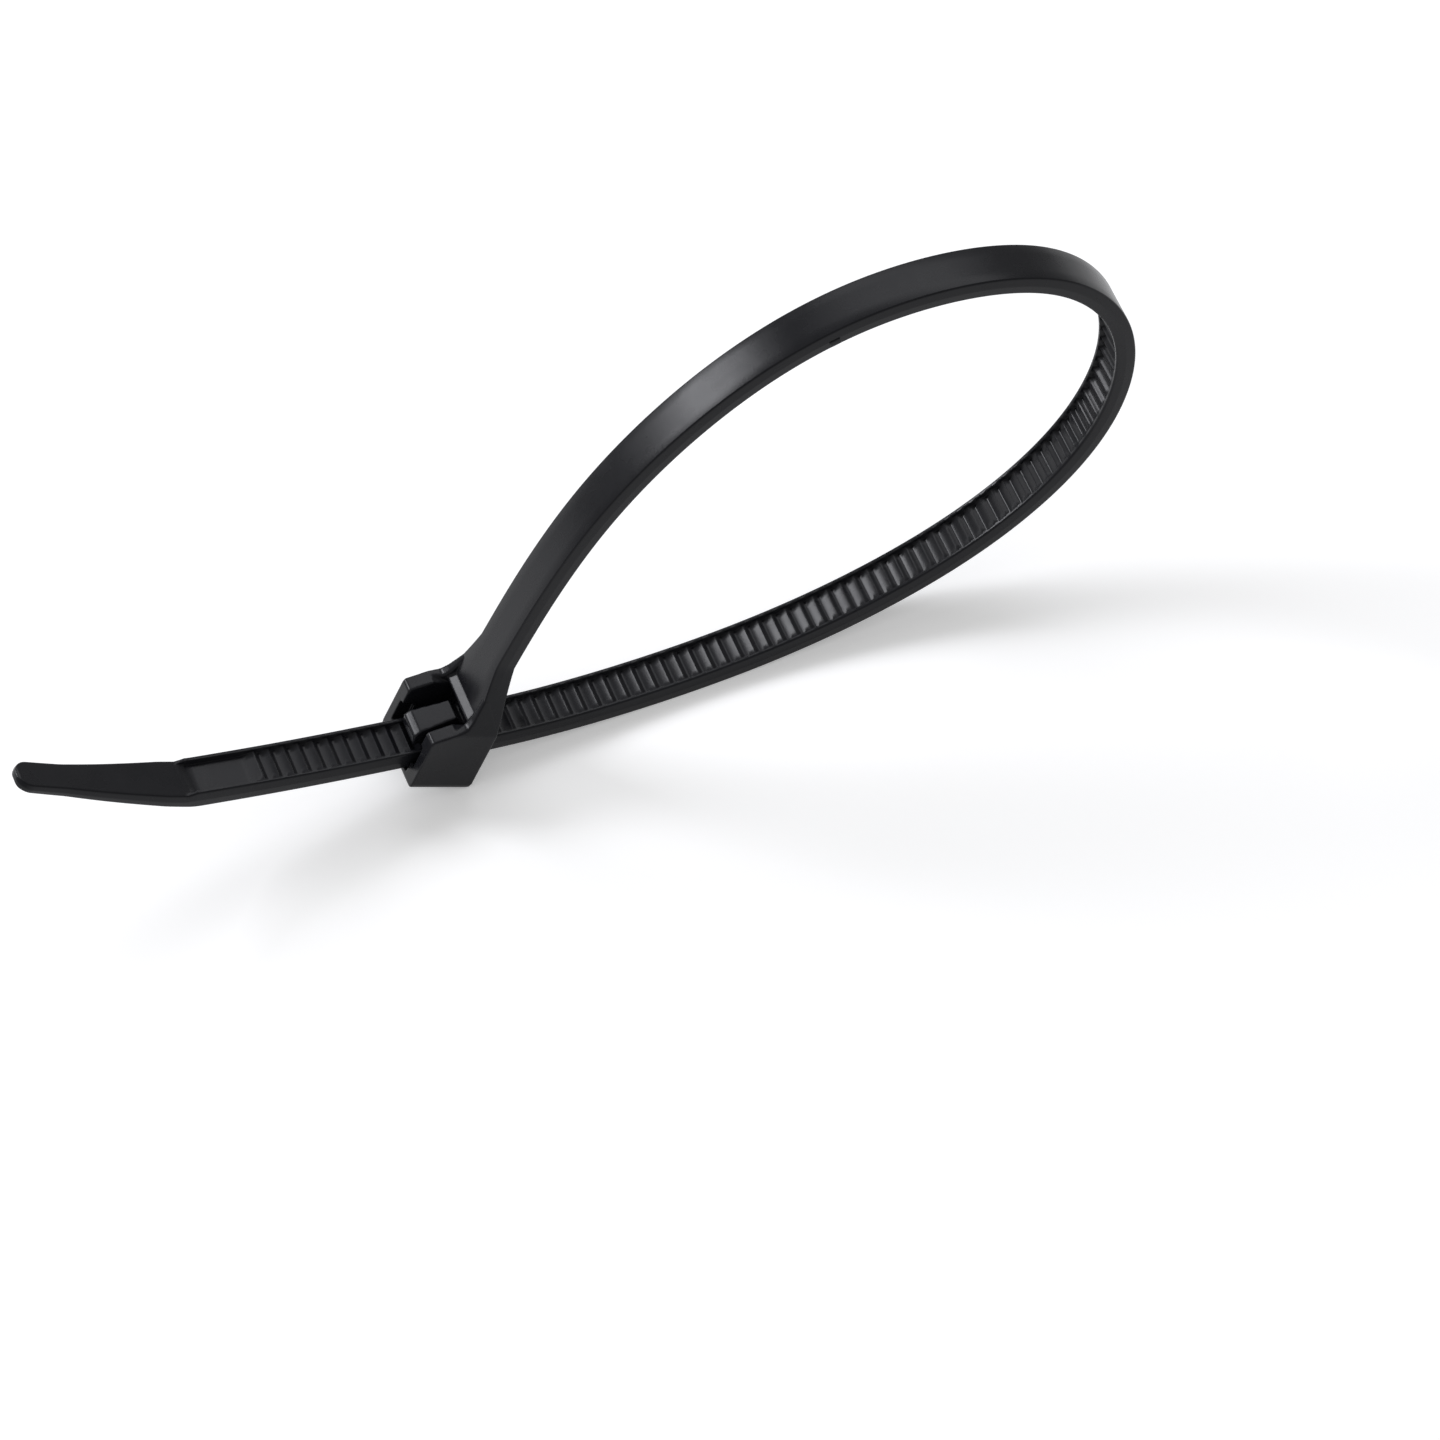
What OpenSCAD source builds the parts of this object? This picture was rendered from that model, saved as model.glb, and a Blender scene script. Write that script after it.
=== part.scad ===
// Miniature moulded cable tie, closed into a loop and standing on its edge.
// The strap follows one smooth curve: out of the head, round the loop, back
// through the slot in the head and on to the upturned tail.
// Side views are drawn in x and z and given their width along y.

/* [Strap] */
// width of the strap
strap_w = 2.5; // [2.1:0.05:2.9]
// thickness of the strap over its rails
strap_t = 1.06; // [0.95:0.01:1.2]
// width of the plain rail on each side of the teeth
rail_w = 0.24; // [0.2:0.02:0.5]
// how far the rails stand above the tips of the teeth
rail_rise = 0.05; // [0.03:0.01:0.1]
// distance from tooth to tooth
tooth_pitch = 0.79; // [0.65:0.01:1.1]
// depth of the teeth below the rails
tooth_d = 0.32; // [0.2:0.01:0.4]
// run of the steep side of a tooth
tooth_flank = 0.16; // [0.08:0.02:0.3]

/* [Loop] */
// length of the loop from the slot to its far end
loop_l = 40; // [34:0.5:48]
// height of the loop above its long axis
loop_h = 15; // [12:0.25:18]
// angle of the head to the long axis of the loop
head_turn = 45.5; // [40:0.5:50]
// angle at which the strap crosses the slot
slot_tilt = 17; // [12:0.5:20]

/* [Tail] */
// length of the strap beyond the middle of the slot
tail_l = 23.2; // [20:0.1:30]
// upward bend of the tail between the head and the tip
tail_bend = 3.2; // [0:0.2:8]
// length of the plain tapered tip
tip_l = 9.9; // [7:0.1:12]
// further bend where the rails end and the tip starts
tip_bend = 15; // [0:1:20]
// width left at the end of the tip
tip_w = 1.75; // [1.2:0.05:2]
// thickness of the tip just beyond the rails
tip_root = 0.84; // [0.75:0.01:0.95]
// thickness at the end of the tip
tip_t = 0.54; // [0.4:0.02:0.7]
// length of the smooth pad between the tip and the teeth
pad_l = 3.7; // [1.6:0.1:5]

/* [Head] */
// width of the head
head_w = 4.6; // [4.3:0.05:5.2]
// thickness of the head from its exit face to its entry face
head_t = 3.5; // [3.45:0.05:3.8]
// length of the head from its blind end to the neck
head_l = 4.1; // [3.9:0.05:4.5]
// length of the exit face, before its shoulder slopes to the neck
face_l = 3.5; // [3.2:0.05:3.7]
// length of the low cheeks that run on from the shoulders up the neck
cheek_l = 2.0; // [1.2:0.1:2.4]
// distance from the blind end of the head to the middle of the slot
slot_at = 1.65; // [1.6:0.01:1.75]
// room round the strap in the slot
slot_gap = 0.1; // [0.06:0.01:0.14]
// radius of the outer corners of the head
head_r = 0.45; // [0.2:0.05:0.7]
// depth of the strap's smooth face below the exit face
root_drop = 2.2; // [2.1:0.02:2.3]
// length of the neck from the head to the plain strap
neck_l = 3.9; // [3.2:0.1:4.6]

/* [Pawl] */
// width of the locking pawl at its tip
pawl_w = 1.45; // [1.2:0.05:1.7]
// width of the pawl at its web
web_w = 1.1; // [0.9:0.05:1.2]
// length of the pawl's back
pawl_l = 2.4; // [2.1:0.05:2.5]
// depth of the web below the pawl's back
web_drop = 0.45; // [0.3:0.05:0.6]
// thickness of the pawl at its tip
pawl_t = 0.9; // [0.7:0.02:1.0]
// reach of the pawl's tip past the exit face
pawl_reach = 0.16; // [0:0.02:0.3]
// slope of the pawl's back against the strap
pawl_rise = 10; // [5:1:14]
// width of each arm of the exit face
arm_w = 0.88; // [0.75:0.02:0.94]
// depth of the recess below the neck's smooth face
recess_d = 0.14; // [0.1:0.02:0.25]
// height of the ridge between the neck and the recess
ridge_h = 0.33; // [0.2:0.01:0.45]

/* [Gate mark] */
// length of the moulding gate stub on the edge of the strap
gate_l = 0.6; // [0.3:0.05:1]
// how far the gate stub stands off the edge
gate_h = 0.12; // [0.06:0.01:0.2]
// distance of the gate stub along the loop from the neck
gate_at = 29; // [15:1:35]

/* [Hidden] */

// unit vector at an angle, and a turn about the origin
function dir(a) = [cos(a), sin(a)];
function turned(p, a) = [p[0] * cos(a) - p[1] * sin(a), p[0] * sin(a) + p[1] * cos(a)];

// head frame: x from exit face to entry face, z towards the neck, origin in the middle of the slot
function from_head(p) = turned(p, head_turn - 90);
half_t = head_t / 2;
half_strap = strap_t / 2;
head_top = head_l - slot_at;
face_top = face_l - slot_at;
cheek_top = head_top + cheek_l;
root_x = -half_t + root_drop + half_strap;
root_face = root_x - half_strap;
root_z = 3.4;
slot_dir = head_turn + 90 + slot_tilt;

// control points of the strap's middle line
root_mid = from_head([root_x, root_z]);
root_step = 2.85 * dir(head_turn);
loop_shape = [
    [0.32, 0.72], [0.56, 0.99], [0.78, 1.0], [0.99, 0.71], [1.04, 0.23],
    [0.94, -0.22], [0.73, -0.46], [0.46, -0.45], [0.22, -0.27]
];
slot_step = 4 * dir(slot_dir);
// steps along the tail, length and turn, with a doubled point where the tip starts
tail_step = (tail_l - tip_l - 4) / 2;
tail_steps = [
    [tail_step, 0.3 * tail_bend], [tail_step, tail_bend], [0, 0],
    [tip_l / 2, tail_bend + tip_bend], [tip_l / 2, tail_bend + 1.4 * tip_bend]
];
function tail_point(i) = i < 0 ? slot_step
    : tail_point(i - 1) + tail_steps[i][0] * dir(slot_dir - tail_steps[i][1]);
tail_last = len(tail_steps) - 1;
tip_mid = tail_point(tail_last);
controls = concat(
    [root_mid - root_step, root_mid, root_mid + root_step],
    [for (q = loop_shape) [q[0] * loop_l, q[1] * loop_h]],
    [-slot_step, [0, 0], slot_step],
    [for (i = [0:tail_last]) tail_point(i)],
    [2 * tip_mid - tail_point(tail_last - 1)]
);

// uniform cubic spline through them, then measured along its length
spans = len(controls) - 3;
per_span = 24;
function spline(i, t) =
    (pow(1 - t, 3) * controls[i]
    + (3 * pow(t, 3) - 6 * t * t + 4) * controls[i + 1]
    + (-3 * pow(t, 3) + 3 * t * t + 3 * t + 1) * controls[i + 2]
    + pow(t, 3) * controls[i + 3]) / 6;
fine_n = spans * per_span;
fine = [for (k = [0:fine_n])
    let (i = min(floor(k / per_span), spans - 1)) spline(i, k / per_span - i)];
fine_s = [for (k = 0, s = 0; k <= fine_n;
    s = s + (k < fine_n ? norm(fine[k + 1] - fine[k]) : 0), k = k + 1) s];
path_l = fine_s[fine_n];
x_at = [for (k = [0:fine_n]) [fine_s[k], fine[k][0]]];
z_at = [for (k = [0:fine_n]) [fine_s[k], fine[k][1]]];
function on_path(s) = [lookup(s, x_at), lookup(s, z_at)];
function heading(s) = let (d = on_path(s + 0.3) - on_path(s - 0.3)) d / norm(d);
// a point beside the middle line, out towards the smooth face
function beside(s, out) = let (h = heading(s)) on_path(s) + out * [-h[1], h[0]];

slot_s = fine_s[(len(loop_shape) + 3) * per_span];
tip_s = path_l - tip_l;
pad_s = tip_s - pad_l;
run = 1.2;
stations = [for (s = [run / 2:run:tip_s - run / 2]) s];
tip_n = 10;
tip_stations = [for (i = [0:tip_n]) tip_s + tip_l * i / tip_n];

// pose: turned until the head and the strap both touch the floor
head_sole = [for (a = [-90:15:0])
    from_head([half_t - head_r, -slot_at + head_r] + head_r * dir(a))];
strap_sole = [for (s = stations) if (s > path_l * 0.5 && s < slot_s - 8) beside(s, half_strap)];
function climb(p, q) = atan2(q[1] - p[1], q[0] - p[0]);
rest_turn = -max([for (p = head_sole) min([for (q = strap_sole) climb(p, q)])]);
outline = [for (p = concat(
    head_sole,
    [for (s = stations) beside(s, half_strap)],
    [beside(path_l, half_strap), beside(path_l, half_strap - tip_t)]
)) turned(p, rest_turn)];
low_z = min([for (p = outline) p[1]]);
mid_x = (min([for (p = outline) p[0]]) + max([for (p = outline) p[0]])) / 2;

// polygon with rounded corners, each given as x, z and radius
corner_n = 6;
function rounded(c) = [for (i = [0:len(c) - 1])
    let (
        p = [c[i][0], c[i][1]],
        a = c[(i + len(c) - 1) % len(c)],
        b = c[(i + 1) % len(c)],
        u = ([a[0], a[1]] - p) / norm([a[0], a[1]] - p),
        v = ([b[0], b[1]] - p) / norm([b[0], b[1]] - p),
        half = acos(u * v) / 2,
        mid = (u + v) / norm(u + v),
        centre = p + mid * c[i][2] / sin(half),
        aim = atan2(-mid[1], -mid[0]),
        swing = (u[0] * v[1] - u[1] * v[0] > 0 ? 1 : -1) * (90 - half)
    )
    each (c[i][2] == 0 ? [p] : [for (k = [0:corner_n])
        centre + c[i][2] * dir(aim + swing * (1 - 2 * k / corner_n))])];

// a side view given its width, centred on the middle plane
module wide(w) {
    rotate([90, 0, 0]) linear_extrude(height = w, center = true) children();
}

// an outline drawn along and across the head, raised through its thickness
module through_head() {
    rotate([0, -90, 0]) linear_extrude(height = 3 * head_t, center = true) children();
}

module at_head() {
    rotate([0, 90 - head_turn, 0]) children();
}

// strap and tip in one side view, the tip thinned on its toothed face
module band() {
    wide(strap_w) polygon(concat(
        [for (s = stations) beside(s, half_strap)],
        [for (s = tip_stations) beside(s, half_strap)],
        [for (i = [tip_n:-1:1])
            beside(tip_stations[i], half_strap - tip_root + (tip_root - tip_t) * i / tip_n)],
        [beside(tip_s, -half_strap)],
        [for (i = [len(stations) - 1:-1:0]) beside(stations[i], -half_strap)]
    ));
}

// the room between the rails, over the pad and between the teeth
teeth_from = neck_l + 3;
teeth_n = floor((pad_s - teeth_from) / tooth_pitch);
module tooth_room() {
    wide(strap_w - 2 * rail_w) polygon(concat(
        [beside(tip_s + 0.4, -half_strap - 0.1)],
        [for (s = [tip_s - 0.2, tip_s - 0.9, pad_s + tooth_pitch - tooth_flank])
            beside(s, -half_strap + tooth_d)],
        [for (i = [0:teeth_n - 1]) let (s = pad_s - i * tooth_pitch) each [
            beside(s, -half_strap + rail_rise),
            beside(s - tooth_flank, -half_strap + tooth_d)
        ]],
        [beside(pad_s - teeth_n * tooth_pitch, -half_strap + rail_rise)],
        [for (i = [teeth_n:-1:0]) beside(pad_s - i * tooth_pitch, -half_strap - 0.3)],
        [for (s = [tip_s - 0.9, tip_s]) beside(s, -half_strap - 0.3)]
    ));
}

// everything beside the narrowing tip, which starts at full width
module tip_sides() {
    start = beside(tip_s, 0);
    reach = norm(tip_mid - start);
    aim = climb(start, tip_mid);
    tip_half = tip_w / 2;
    wide_half = tip_half + 1.26 * (strap_w / 2 - tip_half);
    translate([start[0], 0, start[1]]) rotate([0, -aim, 0])
        linear_extrude(height = 9, center = true) difference() {
            translate([0, -strap_w]) square([reach + 2, 2 * strap_w]);
            polygon(rounded([
                [-0.1, -wide_half, 0], [0.72 * reach, -tip_half, 6], [reach, -tip_half, 0.45 * tip_w],
                [reach, tip_half, 0.45 * tip_w], [0.72 * reach, tip_half, 6], [-0.1, wide_half, 0]
            ]));
        }
}

module strap() {
    difference() {
        band();
        tooth_room();
        tip_sides();
    }
}

// neck: the strap thickened into the head, sunk a hair below the strap's own faces
neck_run = head_top + neck_l - root_z;
neck_swell = half_t - root_x - half_strap;
sunk = 0.02;
neck_stations = [for (s = stations) if (s < neck_run + run) s];
module neck() {
    last = len(neck_stations) - 1;
    polygon(concat(
        [from_head([root_face + sunk, head_top - 0.8])],
        [for (s = neck_stations) beside(s, half_strap - sunk)],
        [for (i = [last:-1:0]) beside(neck_stations[i],
            sunk - half_strap - neck_swell * max(0, 1 - neck_stations[i] / neck_run))],
        [from_head([half_t, head_top]), from_head([half_t, head_top - 0.8])]
    ));
}

// head block: exit face towards -x, entry face towards +x, shoulders running out in the cheeks
shoulder_h = 0.5;
module block() {
    polygon(rounded([
        [-half_t, -slot_at, 0.25], [half_t, -slot_at, head_r], [half_t, head_top + 0.2, 0],
        [root_face + 0.3, cheek_top, 0], [root_face + sunk, cheek_top, 0],
        [root_face - shoulder_h, head_top + 0.3, 0.3], [-half_t, face_top, 0.35]
    ]));
}

// the head seen from its exit face, narrowing along the neck to the strap
neck_n = 9;
function neck_edge(i, side) = let (f = i / neck_n) [
    head_top + neck_l * f,
    side * ((strap_w + (head_w - strap_w) * (1 - f) * (1 - 0.3 * f)) / 2 - sunk * f)
];
module head_plan() {
    polygon(rounded([
        [-slot_at, -head_w / 2, head_r], [head_top, -head_w / 2, 0],
        [head_top, head_w / 2, 0], [-slot_at, head_w / 2, head_r]
    ]));
    polygon(concat(
        [[0, -head_w / 2]],
        [for (i = [0:neck_n]) neck_edge(i, -1)],
        [for (i = [neck_n:-1:0]) neck_edge(i, 1)],
        [[0, head_w / 2]]
    ));
}

// ridge across the neck in front of the recess
recess_w = head_w - 2 * arm_w;
ridge_z = head_top + 0.4;
module ridge() {
    wide(recess_w + 0.1) polygon([
        [root_face + 0.2, ridge_z - 0.2], [root_face - ridge_h, ridge_z - 0.2],
        [root_face - ridge_h, ridge_z], [root_face, ridge_z + 0.4], [root_face + 0.2, ridge_z + 0.4]
    ]);
}

// slot for the strap, sloped like the strap
module slot() {
    slot_h = strap_t + 2 * slot_gap;
    wide(strap_w + 2 * slot_gap) rotate(slot_tilt)
        translate([-head_t, -slot_h / 2]) square([2 * head_t, slot_h]);
}

// recess between the arms, open to the exit face, the pawl stands in it
module recess() {
    wide(recess_w) polygon([
        [-2 * half_t, 0], [root_face + recess_d, 0],
        [root_face + recess_d, ridge_z - 0.2], [-2 * half_t, ridge_z - 0.2]
    ]);
}

// room between the cheeks, its sides sloped, down to the neck's smooth face
module cheek_room() {
    half_w = recess_w / 2;
    translate([0, 0, head_top]) linear_extrude(height = cheek_l + 1) polygon([
        [root_face + sunk, -half_w], [root_face - 1, -half_w - 0.5],
        [root_face - 1, half_w + 0.5], [root_face + sunk, half_w]
    ]);
}

// pawl: its teeth stand in the strap's teeth, its web is part of the block
pawl_clear = 0.07;
pawl_teeth = 3;
module pawl() {
    tip_u = -(half_t + pawl_reach) / cos(slot_tilt) + (half_strap + pawl_t) * tan(slot_tilt);
    first = ceil((pad_s - slot_s + tip_u) / tooth_pitch);
    sole_v = half_strap + pawl_clear;
    back_u = tip_u + pawl_l;
    back_v = sole_v + pawl_t + pawl_l * tan(pawl_rise);
    root_u = half_t / cos(slot_tilt) - 0.6;
    intersection() {
        wide(head_w) rotate(slot_tilt) polygon(concat(
            [[tip_u, sole_v]],
            [for (i = [first:first + pawl_teeth - 1])
                let (u = slot_s - pad_s + i * tooth_pitch) each [
                    [u + 0.08, sole_v],
                    [u + tooth_flank + 0.04, half_strap - tooth_d + 0.14],
                    [u + tooth_pitch - 0.08, sole_v]
                ]],
            [[root_u, sole_v], [root_u + 0.2, sole_v + 0.4], [root_u + 0.2, back_v - web_drop]],
            [[back_u + 0.1, back_v - web_drop], [back_u, back_v - 0.1], [back_u - 0.1, back_v]],
            [[tip_u + 0.1, sole_v + pawl_t], [tip_u, sole_v + pawl_t - 0.12]]
        ));
        linear_extrude(height = 4 * head_l, center = true) polygon([
            [-head_t, -pawl_w / 2], [-half_t, -pawl_w / 2], [0, -web_w / 2], [head_t, -web_w / 2],
            [head_t, web_w / 2], [0, web_w / 2], [-half_t, pawl_w / 2], [-head_t, pawl_w / 2]
        ]);
    }
}

// stub left where the moulding gate was broken off
module gate() {
    foot = beside(gate_at, -0.2);
    h = heading(gate_at);
    translate([foot[0], -strap_w / 2, foot[1]]) rotate([0, -atan2(h[1], h[0]), 0])
        cube([gate_l, 2 * gate_h, 0.4], center = true);
}

module head() {
    difference() {
        intersection() {
            union() {
                at_head() wide(head_w + 1) block();
                wide(head_w + 1) neck();
            }
            at_head() through_head() head_plan();
        }
        at_head() {
            slot();
            recess();
            cheek_room();
        }
    }
    at_head() ridge();
    at_head() pawl();
}

module cable_tie() {
    color("#1b1c1e") translate([-mid_x, 0, -low_z]) rotate([0, -rest_turn, 0]) {
        head();
        strap();
        gate();
    }
}

cable_tie();
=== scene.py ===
from bisect import bisect
from math import cos, pi, radians, sin, sqrt, tan

import bmesh
import bpy
from mathutils import Matrix, Vector


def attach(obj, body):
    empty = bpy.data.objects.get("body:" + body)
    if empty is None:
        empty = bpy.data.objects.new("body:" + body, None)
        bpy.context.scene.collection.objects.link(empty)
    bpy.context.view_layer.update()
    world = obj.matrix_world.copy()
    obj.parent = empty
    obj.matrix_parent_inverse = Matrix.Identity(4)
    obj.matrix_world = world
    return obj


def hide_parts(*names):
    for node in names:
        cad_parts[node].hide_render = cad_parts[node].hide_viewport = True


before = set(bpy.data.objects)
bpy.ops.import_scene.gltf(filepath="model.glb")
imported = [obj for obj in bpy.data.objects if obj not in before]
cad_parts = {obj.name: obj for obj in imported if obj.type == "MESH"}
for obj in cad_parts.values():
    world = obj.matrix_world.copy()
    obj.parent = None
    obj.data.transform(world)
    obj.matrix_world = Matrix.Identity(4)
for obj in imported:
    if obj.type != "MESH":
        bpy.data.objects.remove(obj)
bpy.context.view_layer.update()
scene = bpy.context.scene
scene.view_settings.view_transform = "Standard"
millimetre = 0.001


# The camera comes first: it looks down on the loop from its near side
camera = {
    "place": (-48.67, -224.35, 301.241),  # mm
    "turn": (36.7515, 5.038, -20.4667),  # degrees
    "lens": 183.383,
    "sensor": 36,
}


def addCamera():
    data = bpy.data.cameras.new("camera")
    data.lens = camera["lens"]
    data.sensor_width = camera["sensor"]
    data.clip_start = 0.01
    made = bpy.data.objects.new("camera", data)
    made.location = Vector(camera["place"]) * millimetre
    made.rotation_euler = [radians(a) for a in camera["turn"]]
    scene.collection.objects.link(made)
    scene.camera = made
    print("camera placed")


addCamera()


# The strap's middle line, in mm in its own plane: the same curve as the solid's
loop = {
    "length": 40,
    "height": 15,
    "headTurn": 45.5,  # degrees
    "slotTilt": 17,
    "rootStep": 2.85,
    "slotStep": 4,
    "tail": 23.2,
    "tailBend": 3.2,
    "tip": 9.9,
    "tipBend": 15,
    "floorTurn": 15.1025,  # turns it until head and strap touch the floor
    "toMiddle": 8.70096,  # then moves it over the frame's origin
    "toFloor": 2.13358,
    "shape": (
        (0.32, 0.72), (0.56, 0.99), (0.78, 1.0), (0.99, 0.71), (1.04, 0.23),
        (0.94, -0.22), (0.73, -0.46), (0.46, -0.45), (0.22, -0.27),
    ),
}
head = {
    "width": 4.6,
    "thick": 3.5,
    "top": 2.45,  # from the middle of the slot, towards the neck
    "bottom": -1.65,
    "faceTop": 1.85,
    "cheekTop": 4.45,
    "rootDrop": 2.2,
    "rootRise": 3.4,
    "neck": 3.9,
    "corner": 0.45,
    "arm": 0.88,
    "recess": 0.14,
    "slotGap": 0.1,  # round the strap where it passes through
    "notch": 0.27,  # the arms are cut back this far beside the strap, where it comes out
    "notchDepth": 0.75,
    "ridge": 0.29,
    "ridgeHeight": 0.54,
    "voxel": 0.05,
    "smoothings": 7,
}
strap = {
    "width": 2.5,
    "thick": 1.06,
    "edge": 0.09,  # radius along its four edges
    "draft": 0.018,  # the sides stand out this far at the parting line, and in at the edges
    "railInside": 1.0,
    "pitch": 0.79,
    "padLength": 3.7,
    "padDepth": 0.32,
    "padEnd": 0.55,  # the pad's floor runs out this far into the tip
    "tipRoot": 0.84,
    "tipThick": 0.54,
    "tipWidth": 1.75,
    "tipTaper": (1.26, 0.72),  # how far out its sloping sides start, and how far along they end
    "tipEdge": 0.2,
}


def towards(degrees):
    return Vector((cos(radians(degrees)), sin(radians(degrees))))


def turned(point, degrees):
    c = cos(radians(degrees))
    s = sin(radians(degrees))
    return Vector((point[0] * c - point[1] * s, point[0] * s + point[1] * c))


halfHead = head["thick"] / 2
halfStrap = strap["thick"] / 2
headSide = head["width"] / 2
strapSide = strap["width"] / 2
recessSide = headSide - head["arm"]
rootFace = head["rootDrop"] - halfHead  # the strap's smooth face, where it leaves the head
rootMiddle = rootFace + halfStrap
ridgeFoot = head["top"] + 0.2
noseRun = 0.45 * strap["tipWidth"]  # the tip's end is rounded over this length


def controlPoints():
    out = towards(loop["headTurn"]) * loop["rootStep"]
    root = turned((rootMiddle, head["rootRise"]), loop["headTurn"] - 90)
    points = [root - out, root, root + out]
    points += [Vector((x * loop["length"], z * loop["height"])) for x, z in loop["shape"]]
    slotAim = loop["headTurn"] + 90 + loop["slotTilt"]
    slotStep = towards(slotAim) * loop["slotStep"]
    points += [-slotStep, Vector((0, 0)), slotStep]
    tailStep = (loop["tail"] - loop["tip"] - loop["slotStep"]) / 2
    tipStep = loop["tip"] / 2
    bend = loop["tailBend"]
    steps = (
        (tailStep, 0.3 * bend), (tailStep, bend), (0, 0),
        (tipStep, bend + loop["tipBend"]), (tipStep, bend + 1.4 * loop["tipBend"]),
    )
    for length, turn in steps:
        points.append(points[-1] + towards(slotAim - turn) * length)
    points.append(2 * points[-1] - points[-2])
    return points


def splinePoint(points, at):
    # a cubic B-spline through its control points
    i = min(int(at), len(points) - 4)
    t = at - i
    weights = ((1 - t) ** 3, 3 * t ** 3 - 6 * t * t + 4, 3 * t + 3 * t * t - 3 * t ** 3 + 1, t ** 3)
    return sum((p * w for p, w in zip(points[i:i + 4], weights)), Vector((0, 0))) / 6


finePerSpan = 96
controls = controlPoints()
fine = [splinePoint(controls, k / finePerSpan) for k in range((len(controls) - 3) * finePerSpan + 1)]
along = [0]
for a, b in zip(fine, fine[1:]):
    along.append(along[-1] + (b - a).length)
pathEnd = along[-1]
slotAlong = along[(len(loop["shape"]) + 3) * finePerSpan]
tipAlong = pathEnd - loop["tip"]
padAlong = tipAlong - strap["padLength"]


def onPath(s):
    if s <= 0:
        return fine[0] + s * towards(loop["headTurn"])
    k = min(bisect(along, s), len(fine) - 1)
    return fine[k - 1].lerp(fine[k], (s - along[k - 1]) / (along[k] - along[k - 1]))


def heading(s):
    near = 0.25  # mm either way, which evens out the path's short steps
    return (onPath(s + near) - onPath(min(s, pathEnd) - near)).normalized()


def bent(s, across, out):
    # a point of the straight strap, taken to its place on the bent one
    ahead = heading(s)
    p = onPath(s) + out * Vector((-ahead.y, ahead.x))
    q = turned(p, loop["floorTurn"])
    return Vector((q.x - loop["toMiddle"], across, q.y + loop["toFloor"])) * millimetre


def clamp(value):
    return max(0, min(1, value))


def between(x, rows):
    # straight lines through rows of x and value
    for (a, v), (b, w) in zip(rows, rows[1:]):
        if x <= b:
            return v + (w - v) * clamp((x - a) / (b - a))
    return rows[-1][1]


# One ratchet tooth, from its tip towards the head: run and depth in mm, corners a little rounded
toothShape = (
    (0, 0.12), (0.04, 0.135), (0.1, 0.18), (0.21, 0.275), (0.27, 0.3),
    (0.34, 0.29), (0.54, 0.225), (0.72, 0.155), (0.76, 0.135), (0.79, 0.12),
)
teethCount = int((padAlong - head["neck"] - 3) / strap["pitch"])
teethStart = padAlong - teethCount * strap["pitch"]


def toothDepth(s):
    # how far the toothed floor lies below the rails
    padStop = tipAlong + strap["padEnd"]
    if s < teethStart or s > padStop:
        return 0
    if s < padAlong:
        return between((padAlong - s) % strap["pitch"], toothShape)
    deep = strap["padDepth"]
    return between(s, (
        (padAlong, 0.12), (padAlong + 0.06, 0.14), (padAlong + 0.58, 0.3), (padAlong + 0.7, deep),
        (tipAlong - 0.3, deep), (tipAlong, deep - 0.02), (padStop - 0.1, 0.03), (padStop, 0),
    ))


def neckSide(f):
    # half the width along the neck, from the head's at 0 to the strap's at 1
    return strapSide + (headSide - strapSide) * (1 - f) * (1 - 0.3 * f)


def halfWidthAt(s):
    half = neckSide(clamp((head["rootRise"] - head["top"] + s) / head["neck"]))
    if s > tipAlong:
        u = (s - tipAlong) / loop["tip"]
        tipHalf = strap["tipWidth"] / 2
        start, end = strap["tipTaper"]
        half = min(half, tipHalf + start * (half - tipHalf) * clamp(1 - u / end))
        left = max(0, pathEnd - s)
        if left < noseRun:
            half += sqrt(noseRun ** 2 - (noseRun - left) ** 2) - noseRun
    return half


def facesAt(s):
    # smooth face and toothed face, from the middle line
    top = halfStrap
    run = head["top"] + head["neck"] - head["rootRise"]
    swell = (halfHead - rootMiddle - halfStrap) * clamp(1 - max(0, s) / run)
    low = -halfStrap - swell
    if s > tipAlong:
        low = top - between(s, (
            (tipAlong, strap["thick"]), (tipAlong + strap["padEnd"], strap["tipRoot"] - 0.02),
            (tipAlong + 1, strap["tipRoot"] - 0.03), (pathEnd, strap["tipThick"]),
        ))
        left = max(0, pathEnd - s)
        edge = strap["tipEdge"]
        if left < edge:
            bite = edge - sqrt(edge ** 2 - (edge - left) ** 2)
            top -= 0.8 * bite
            low += 0.8 * bite
    return top, low


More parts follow.
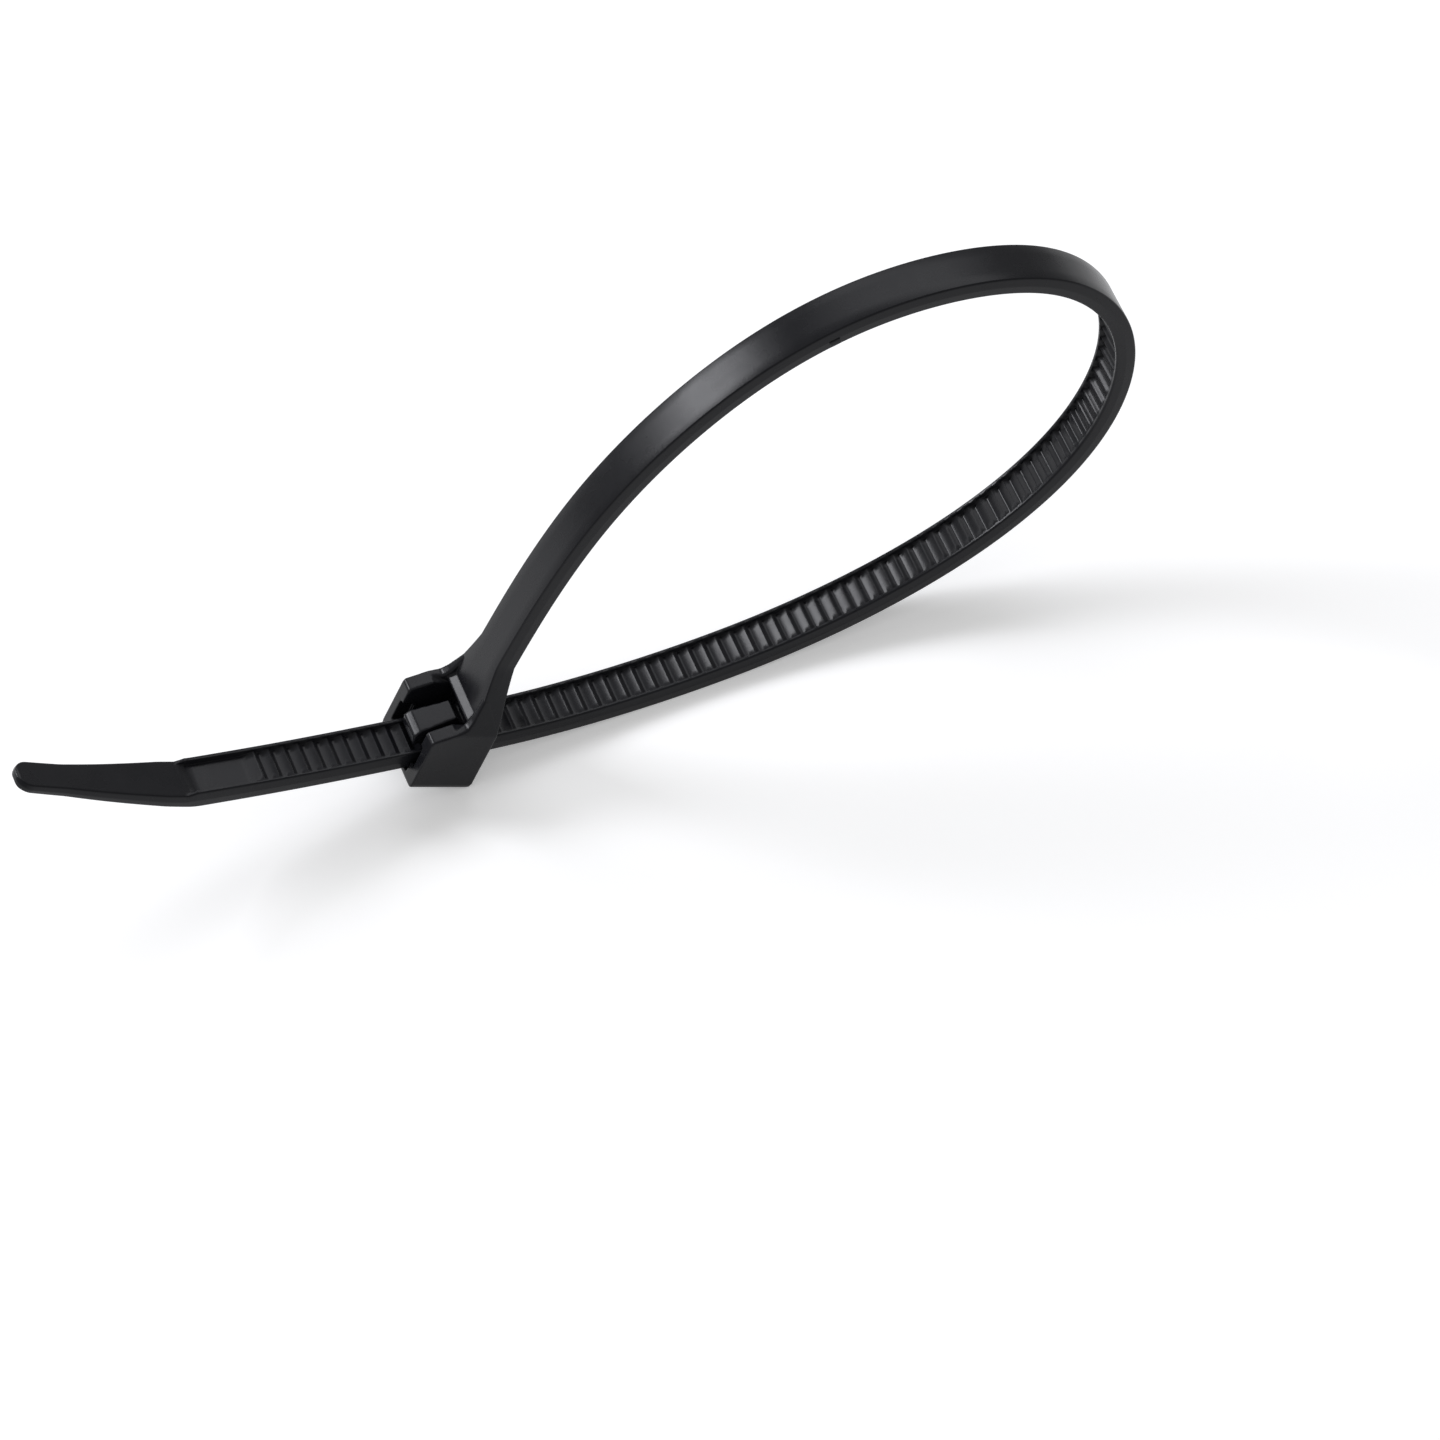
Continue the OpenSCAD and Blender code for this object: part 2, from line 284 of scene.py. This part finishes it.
def section(s):
    # the strap cut across: points from the middle of the smooth face round to the middle of the floor
    half = halfWidthAt(s)
    top, low = facesAt(s)
    deep = toothDepth(s)
    draft = strap["draft"] * clamp((s - 1) / 2.5)
    edge = min(strap["edge"], 0.28 * (top - low), 0.3 * half)
    parting = (top + low) / 2
    side = half - draft
    rail = strap["railInside"] * half / strapSide if s > tipAlong else strap["railInside"]
    wall = min(rail, side - edge - 0.03)
    rounding = []
    for degrees in (18, 40, 65):
        rounding.append((side - edge + edge * cos(radians(degrees)), edge - edge * sin(radians(degrees))))
    rows = [(0.45 * half, top), (side - edge, top)]
    rows += [(w, top - v) for w, v in reversed(rounding)]
    rows += [
        (side + 0.1 * draft, top - 1.4 * edge),
        (half + 0.8 * draft, parting + 0.05), (half + draft, parting), (half + 0.8 * draft, parting - 0.05),
        (side + 0.1 * draft, low + 1.4 * edge),
    ]
    rows += [(w, low + v) for w, v in rounding]
    rows += [
        (side - edge, low), (min(rail + 0.03, side - edge - 0.01), low),
        (wall, low + 0.12 * deep), (wall - 0.02, low + 0.88 * deep), (wall - 0.05, low + deep),
        (0.45 * half, low + deep),
    ]
    return [(0, top)] + rows + [(0, low + deep)] + [(-w, v) for w, v in reversed(rows)]


def stationList():
    # where the strap is cut across: close together where its shape changes quickly
    step = 0.3
    start = -0.95  # inside the head
    stops = [start + step * i for i in range(int((teethStart - start) / step))]
    for i in range(teethCount):
        stops += [padAlong - i * strap["pitch"] - run for run, depth in toothShape[:-1]]
    stops += [teethStart, teethStart - 0.02]
    stops += [padAlong + 0.06, padAlong + 0.58, padAlong + 0.7, padAlong + 0.8]
    stops += [padAlong + 0.9 + step * i for i in range(int((strap["padLength"] - 1.2) / step) + 1)]
    stops += [tipAlong + d for d in (-0.3, -0.1, 0, 0.1, 0.25, 0.45, strap["padEnd"], 0.7, 1)]
    plainRun = loop["tip"] - 1 - noseRun
    plainCount = 26
    stops += [tipAlong + 1 + plainRun * i / plainCount for i in range(1, plainCount + 1)]
    stops += [pathEnd - noseRun * (1 - sin(radians(a))) for a in range(6, 90, 6)]
    stops.append(pathEnd - 0.002)
    return sorted(set(round(s, 4) for s in stops))


def asObject(bm, name):
    mesh = bpy.data.meshes.new(name)
    bm.to_mesh(mesh)
    bm.free()
    made = bpy.data.objects.new(name, mesh)
    scene.collection.objects.link(made)
    return made


def finished(bm, name, smoothAngle):
    bmesh.ops.recalc_face_normals(bm, faces=bm.faces)
    made = asObject(bm, name)
    made.data.shade_smooth()
    made.data.set_sharp_from_angle(angle=radians(smoothAngle))
    return made


def makeStrap():
    # a flat sheet, its rows wrapped round the strap's section and its length laid along the path
    stops = stationList()
    rings = [section(s) for s in stops]
    around = len(rings[0])
    bm = bmesh.new()
    bmesh.ops.create_grid(bm, x_segments=len(stops) - 1, y_segments=around, size=1)
    for v in bm.verts:
        i = round((v.co.x + 1) / 2 * (len(stops) - 1))
        j = round((v.co.y + 1) / 2 * around) % around
        across, out = rings[i][j]
        v.co = bent(stops[i], across, out)
    bmesh.ops.remove_doubles(bm, verts=bm.verts, dist=1e-7)
    bmesh.ops.holes_fill(bm, edges=[e for e in bm.edges if e.is_boundary], sides=0)
    made = finished(bm, "strap", 40)
    print("strap made:", len(made.data.polygons), "faces,", teethCount, "teeth")
    return made


def prism(corners, low, high, place):
    # a flat outline given as a, b and corner radius, raised from low to high, and its corners rounded
    near = 1e-5
    bm = bmesh.new()
    base = [bm.verts.new(place(a, b, low)) for a, b, r in corners]
    face = bm.faces.new(base)
    raised = bmesh.ops.extrude_face_region(bm, geom=[face])["geom"]
    lift = place(0, 0, high) - place(0, 0, low)
    tops = [v for v in raised if isinstance(v, bmesh.types.BMVert)]
    bmesh.ops.translate(bm, verts=tops, vec=lift)
    for start, (a, b, r) in zip([v.co.copy() for v in base], corners):
        if r:
            upright = [e for e in bm.edges if min((v.co - start).length for v in e.verts) < near
                       and abs((e.verts[0].co - e.verts[1].co).length - lift.length) < near]
            bmesh.ops.bevel(bm, geom=upright, offset=r, offset_type="OFFSET", segments=8,
                            profile=0.5, affect="EDGES", material=-1)
    bmesh.ops.recalc_face_normals(bm, faces=bm.faces)
    return bm


def sharp(points):
    # an outline whose corners aren't rounded
    return [(a, b, 0) for a, b in points]


def sideOn(a, b, depth):
    # outline in the loop's plane
    return Vector((a, depth, b))


def faceOn(a, b, depth):
    # outline in the plane of the entry face
    return Vector((depth, b, a))


def endOn(a, b, depth):
    # outline seen along the neck
    return Vector((a, b, depth))


def inSlot(u, v):
    return turned((u, v), loop["slotTilt"])


def applied(thing):
    # its mesh with its modifiers applied
    bpy.context.view_layer.update()
    depsgraph = bpy.context.evaluated_depsgraph_get()
    return bpy.data.meshes.new_from_object(thing.evaluated_get(depsgraph))


def makeHead():
    # worked in mm in the head's own frame: x from exit to entry face, z towards the neck
    past = 4  # the cutters end outside the head
    block = asObject(prism((
        (-halfHead, head["bottom"], 0.25), (halfHead, head["bottom"], head["corner"]),
        (halfHead, ridgeFoot, 0), (rootFace + 0.3, head["cheekTop"], 0),
        (rootFace + 0.02, head["cheekTop"], 0), (rootFace - 0.28, head["top"] + 0.78, 0),
        (rootFace - 0.5, head["top"] + 0.3, 0.1), (-halfHead, head["faceTop"], 0.12),
    ), -3, 3, sideOn), "head")

    # the head's outline from the front, narrowing along the neck
    neckSteps = 9
    necks = []
    for i in range(neckSteps + 1):
        f = i / neckSteps
        necks.append((head["top"] + head["neck"] * f, neckSide(f) + 0.012, 0))
    plan = asObject(prism(
        [(head["bottom"], headSide, head["corner"])] + necks
        + [(z, -y, r) for z, y, r in reversed(necks)] + [(head["bottom"], -headSide, head["corner"])],
        -5, 5, faceOn), "plan")

    # the slot, and the recess between the arms on the exit face
    slotHalf = halfStrap + head["slotGap"]
    slotSide = strapSide + head["slotGap"]
    slotEnds = ((-past, -slotHalf), (past, -slotHalf), (past, slotHalf), (-past, slotHalf))
    slot = asObject(prism(sharp(inSlot(u, v) for u, v in slotEnds), -slotSide, slotSide, sideOn), "slot")
    floor = rootFace + head["recess"]
    recess = asObject(prism(
        sharp(((-past, 0), (floor + 0.5, 0), (floor, ridgeFoot), (-past, ridgeFoot))),
        -recessSide, recessSide, sideOn), "recess")

    # the lane between the cheeks, and the notches beside the strap
    lane = asObject(prism(sharp((
        (rootFace + 0.02, -recessSide), (rootFace - 1, -recessSide - 0.5),
        (rootFace - 1, recessSide + 0.5), (rootFace + 0.02, recessSide),
    )), head["top"], head["cheekTop"] + 1, endOn), "lane")
    notchSide = recessSide + head["notch"]
    notchEnd = head["notchDepth"] - halfHead
    notch = asObject(prism(
        sharp(((-past, -0.5), (notchEnd, -0.5), (notchEnd, 0.8), (-past, 1.2))),
        -notchSide, notchSide, sideOn), "notch")

    cutters = (plan, slot, recess, lane, notch)
    for cutter in cutters:
        cut = block.modifiers.new(cutter.name, "BOOLEAN")
        cut.operation = "INTERSECT" if cutter == plan else "DIFFERENCE"
        cut.solver = "EXACT"
        cut.object = cutter
    bm = bmesh.new()
    bm.from_mesh(applied(block))
    for extra in (makeRidge(), makePawl()):
        mesh = bpy.data.meshes.new("extra")
        extra.to_mesh(mesh)
        extra.free()
        bm.from_mesh(mesh)

    # one closed skin over all of it, smoothed so that its edges are as soft as moulded ones
    rough = asObject(bm, "roughHead")
    remesh = rough.modifiers.new("remesh", "REMESH")
    remesh.mode = "VOXEL"
    remesh.voxel_size = head["voxel"]
    bm = bmesh.new()
    bm.from_mesh(applied(rough))
    for i in range(head["smoothings"]):
        bmesh.ops.smooth_vert(bm, verts=bm.verts, factor=0.5,
                              use_axis_x=True, use_axis_y=True, use_axis_z=True)
    turn = Matrix.Rotation(radians(90 - loop["headTurn"] - loop["floorTurn"]), 4, "Y")
    move = Matrix.Translation((-loop["toMiddle"], 0, loop["toFloor"]))
    bmesh.ops.transform(bm, matrix=Matrix.Scale(millimetre, 4) @ move @ turn, verts=bm.verts)
    for used in (block, rough, *cutters):
        bpy.data.objects.remove(used)
    made = finished(bm, "head", 180)
    print("head made:", len(made.data.polygons), "faces")
    return made


def makeRidge():
    # low bar across the neck in front of the recess
    half = recessSide + 0.05
    back = rootFace + 0.2
    front = rootFace - head["ridge"]
    ridgeTop = ridgeFoot + head["ridgeHeight"]
    return prism(sharp((
        (back, ridgeFoot), (front, ridgeFoot), (front, ridgeFoot + 0.1),
        (rootFace, ridgeTop), (back, ridgeTop),
    )), -half, half, sideOn)


pawl = {
    "width": 1.65,
    "web": 1.3,  # its width at the root
    "length": 2.4,
    "webDrop": 0.45,
    "thick": 0.9,
    "reach": 0.16,  # its nose stands this far out of the exit face
    "rootIn": 0.6,  # its root starts this far inside the entry face
    "rise": 10,  # degrees
    "clear": 0.07,
    "teeth": 3,
    "toothDrop": 0.18,
}


def makePawl():
    # tongue over the strap, its small teeth in the strap's, its root in the head
    tilt = radians(loop["slotTilt"])
    tipU = -(halfHead + pawl["reach"]) / cos(tilt) + (halfStrap + pawl["thick"]) * tan(tilt)
    sole = halfStrap + pawl["clear"]
    backU = tipU + pawl["length"]
    noseV = sole + pawl["thick"]
    backV = noseV + pawl["length"] * tan(radians(pawl["rise"]))
    webV = backV - pawl["webDrop"]
    rootU = halfHead / cos(tilt) - pawl["rootIn"]
    outline = [(tipU, sole)]
    first = slotAlong - padAlong
    while first < tipU:
        first += strap["pitch"]
    for i in range(pawl["teeth"]):
        u = first + i * strap["pitch"]
        outline += [(u + 0.08, sole), (u + 0.2, halfStrap - pawl["toothDrop"]), (u + 0.71, sole)]
    outline += [
        (rootU, sole), (rootU + 0.2, sole + 0.4), (rootU + 0.2, webV),
        (backU + 0.1, webV), (backU, backV - 0.1), (backU - 0.1, backV),
        (tipU + 0.37, noseV + 0.06), (tipU + 0.07, noseV - 0.14), (tipU, noseV - 0.25),
    ]
    bm = prism(sharp(inSlot(u, v) for u, v in outline), -0.5, 0.5, sideOn)
    for v in bm.verts:
        near = clamp(-v.co.x / halfHead)
        v.co.y *= pawl["web"] + (pawl["width"] - pawl["web"]) * near
    return bm


gate = {
    "at": 29,  # mm along the strap
    "length": 0.6,
    "height": 0.4,
    "out": 0.07,
    "below": 0.2,  # from the middle line towards the teeth
    "edge": 0.05,
}


def makeGate():
    # stub where the moulding gate was broken off, on the edge of the strap
    bm = bmesh.new()
    bmesh.ops.create_cube(bm, size=1)
    bmesh.ops.scale(bm, verts=bm.verts, vec=(gate["length"], 2 * gate["out"], gate["height"]))
    bmesh.ops.bevel(bm, geom=bm.edges[:], offset=gate["edge"], offset_type="OFFSET", segments=3,
                    profile=0.5, affect="EDGES", material=-1)
    for v in bm.verts:
        v.co = bent(gate["at"] + v.co.x, -strapSide + v.co.y, -gate["below"] + v.co.z)
    made = finished(bm, "gateStub", 60)
    print("gate stub made")
    return made


# Materials
def linear(code):
    # sRGB hex to linear colour
    parts = [int(code[i:i + 2], 16) / 255 for i in (1, 3, 5)]
    return [c / 12.92 if c <= 0.04045 else ((c + 0.055) / 1.055) ** 2.4 for c in parts] + [1]


def addNode(tree, kind, settings=None, links=None):
    # a node with its settings, and what each input takes: a value or another node's output
    node = tree.nodes.new(kind)
    for name, value in (settings or {}).items():
        setattr(node, name, value)
    for name, value in (links or {}).items():
        if isinstance(value, bpy.types.NodeSocket):
            tree.links.new(value, node.inputs[name])
        else:
            node.inputs[name].default_value = value
    return node


def emptyMaterial(name):
    material = bpy.data.materials.new(name)
    material.use_nodes = True
    material.node_tree.nodes.clear()
    return material, material.node_tree


nylon = {
    "colour": "#141518",
    "worn": "#1b1b1f",
    "ior": 1.53,
    "specular": 0.16,
    "roughness": 0.27,
    "clouds": 0.45,  # per mm: marks of the flow, about 2 mm across
    "grain": 9,  # per mm: the mould's spark grain, drawn about 0.1 mm wide so that it shows
    "grainStrength": 0.12,
    "grainDepth": 0.01,  # mm
}


def mouldedNylon():
    # black nylon 66, injection moulded: satin skin, faintly clouded gloss and a fine spark-worn grain
    material, tree = emptyMaterial("satinMouldedNylon")
    place = addNode(tree, "ShaderNodeTexCoord").outputs["Object"]
    noise = {"Vector": place, "Detail": 3.0, "Roughness": 0.6}
    cloud = addNode(tree, "ShaderNodeTexNoise", None, {**noise, "Scale": nylon["clouds"] / millimetre})
    grain = addNode(tree, "ShaderNodeTexNoise", None, {**noise, "Scale": nylon["grain"] / millimetre})
    tint = addNode(tree, "ShaderNodeMix", {"data_type": "RGBA"}, {
        0: cloud.outputs["Fac"], 6: linear(nylon["colour"]), 7: linear(nylon["worn"])})
    gloss = addNode(tree, "ShaderNodeMapRange", None, {
        "Value": cloud.outputs["Fac"], "From Min": 0.3, "From Max": 0.7,
        "To Min": nylon["roughness"] - 0.03, "To Max": nylon["roughness"] + 0.04})
    bump = addNode(tree, "ShaderNodeBump", None, {
        "Strength": nylon["grainStrength"], "Distance": nylon["grainDepth"] * millimetre,
        "Height": grain.outputs["Fac"]})
    skin = addNode(tree, "ShaderNodeBsdfPrincipled", None, {
        "Base Color": tint.outputs[2], "Roughness": gloss.outputs["Result"], "Normal": bump.outputs["Normal"],
        "IOR": nylon["ior"], "Specular IOR Level": nylon["specular"]})
    addNode(tree, "ShaderNodeOutputMaterial", None, {"Surface": skin.outputs["BSDF"]})
    return material


pieces = [makeStrap(), makeHead(), makeGate()]
skin = mouldedNylon()
for piece in pieces:
    piece.data.materials.clear()
    piece.data.materials.append(skin)
    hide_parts("cable_tie")
    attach(piece, "root")
print("pieces finished:", len(pieces))


# Floor, lights and surroundings
table = {
    "reach": 0.8,  # m, from its middle to each side
    "colour": "#f7f7f7",
    "roughness": 0.6,
    "lift": 0.3,  # added where it is looked at, so that it comes out white and keeps the shadow
}


def pressedMelamine():
    # white melamine laminate, pressed matt on its board: an even, pale face with no highlights
    material, tree = emptyMaterial("pressedMattMelamine")
    skin = addNode(tree, "ShaderNodeBsdfPrincipled", None, {
        "Base Color": linear(table["colour"]), "Roughness": table["roughness"]})
    ray = addNode(tree, "ShaderNodeLightPath")
    seen = ray.outputs["Is Camera Ray"]
    for kind in ("Is Glossy Ray", "Is Transmission Ray"):
        either = addNode(tree, "ShaderNodeMath", {"operation": "MAXIMUM"}, {0: seen, 1: ray.outputs[kind]})
        seen = either.outputs["Value"]
    strength = addNode(tree, "ShaderNodeMath", {"operation": "MULTIPLY"}, {0: seen, 1: table["lift"]})
    glow = addNode(tree, "ShaderNodeEmission", None, {"Strength": strength.outputs["Value"]})
    both = addNode(tree, "ShaderNodeAddShader", None, {0: skin.outputs["BSDF"], 1: glow.outputs["Emission"]})
    addNode(tree, "ShaderNodeOutputMaterial", None, {"Surface": both.outputs["Shader"]})
    return material


def makeFloor():
    bm = bmesh.new()
    bmesh.ops.create_grid(bm, x_segments=1, y_segments=1, size=table["reach"])
    made = finished(bm, "floor", 30)
    made.data.materials.append(pressedMelamine())


lights = {
    # direction from the tie, distance and size in m, brightness of its face, colour
    "window": ((-0.58, 0.6, 0.55), 0.6, (0.2, 0.19), 15, "#f9faff"),
    "ceiling": ((0.29, 0.6, 0.745), 0.6, (0.54, 0.22), 2.4, "#fafbff"),
}
aimPoint = Vector((0.002, 0, 0.01))
room = {"colour": "#ffffff", "strength": 0.42}


def addLight(name, direction, distance, size, bright, colour):
    data = bpy.data.lights.new(name, "AREA")
    data.color = linear(colour)[:3]
    data.shape = "RECTANGLE"
    data.size, data.size_y = size
    data.energy = bright * size[0] * size[1] * pi  # watts that give the face this brightness
    made = bpy.data.objects.new(name, data)
    out = Vector(direction).normalized()
    made.location = aimPoint + out * distance
    made.rotation_euler = out.to_track_quat("Z", "Y").to_euler()
    scene.collection.objects.link(made)


def addWorld():
    world = bpy.data.worlds.new("room")
    world.use_nodes = True
    back = world.node_tree.nodes["Background"]
    back.inputs["Color"].default_value = linear(room["colour"])
    back.inputs["Strength"].default_value = room["strength"]
    scene.world = world


makeFloor()
for name, row in lights.items():
    addLight(name, *row)
addWorld()
print("stage lit")
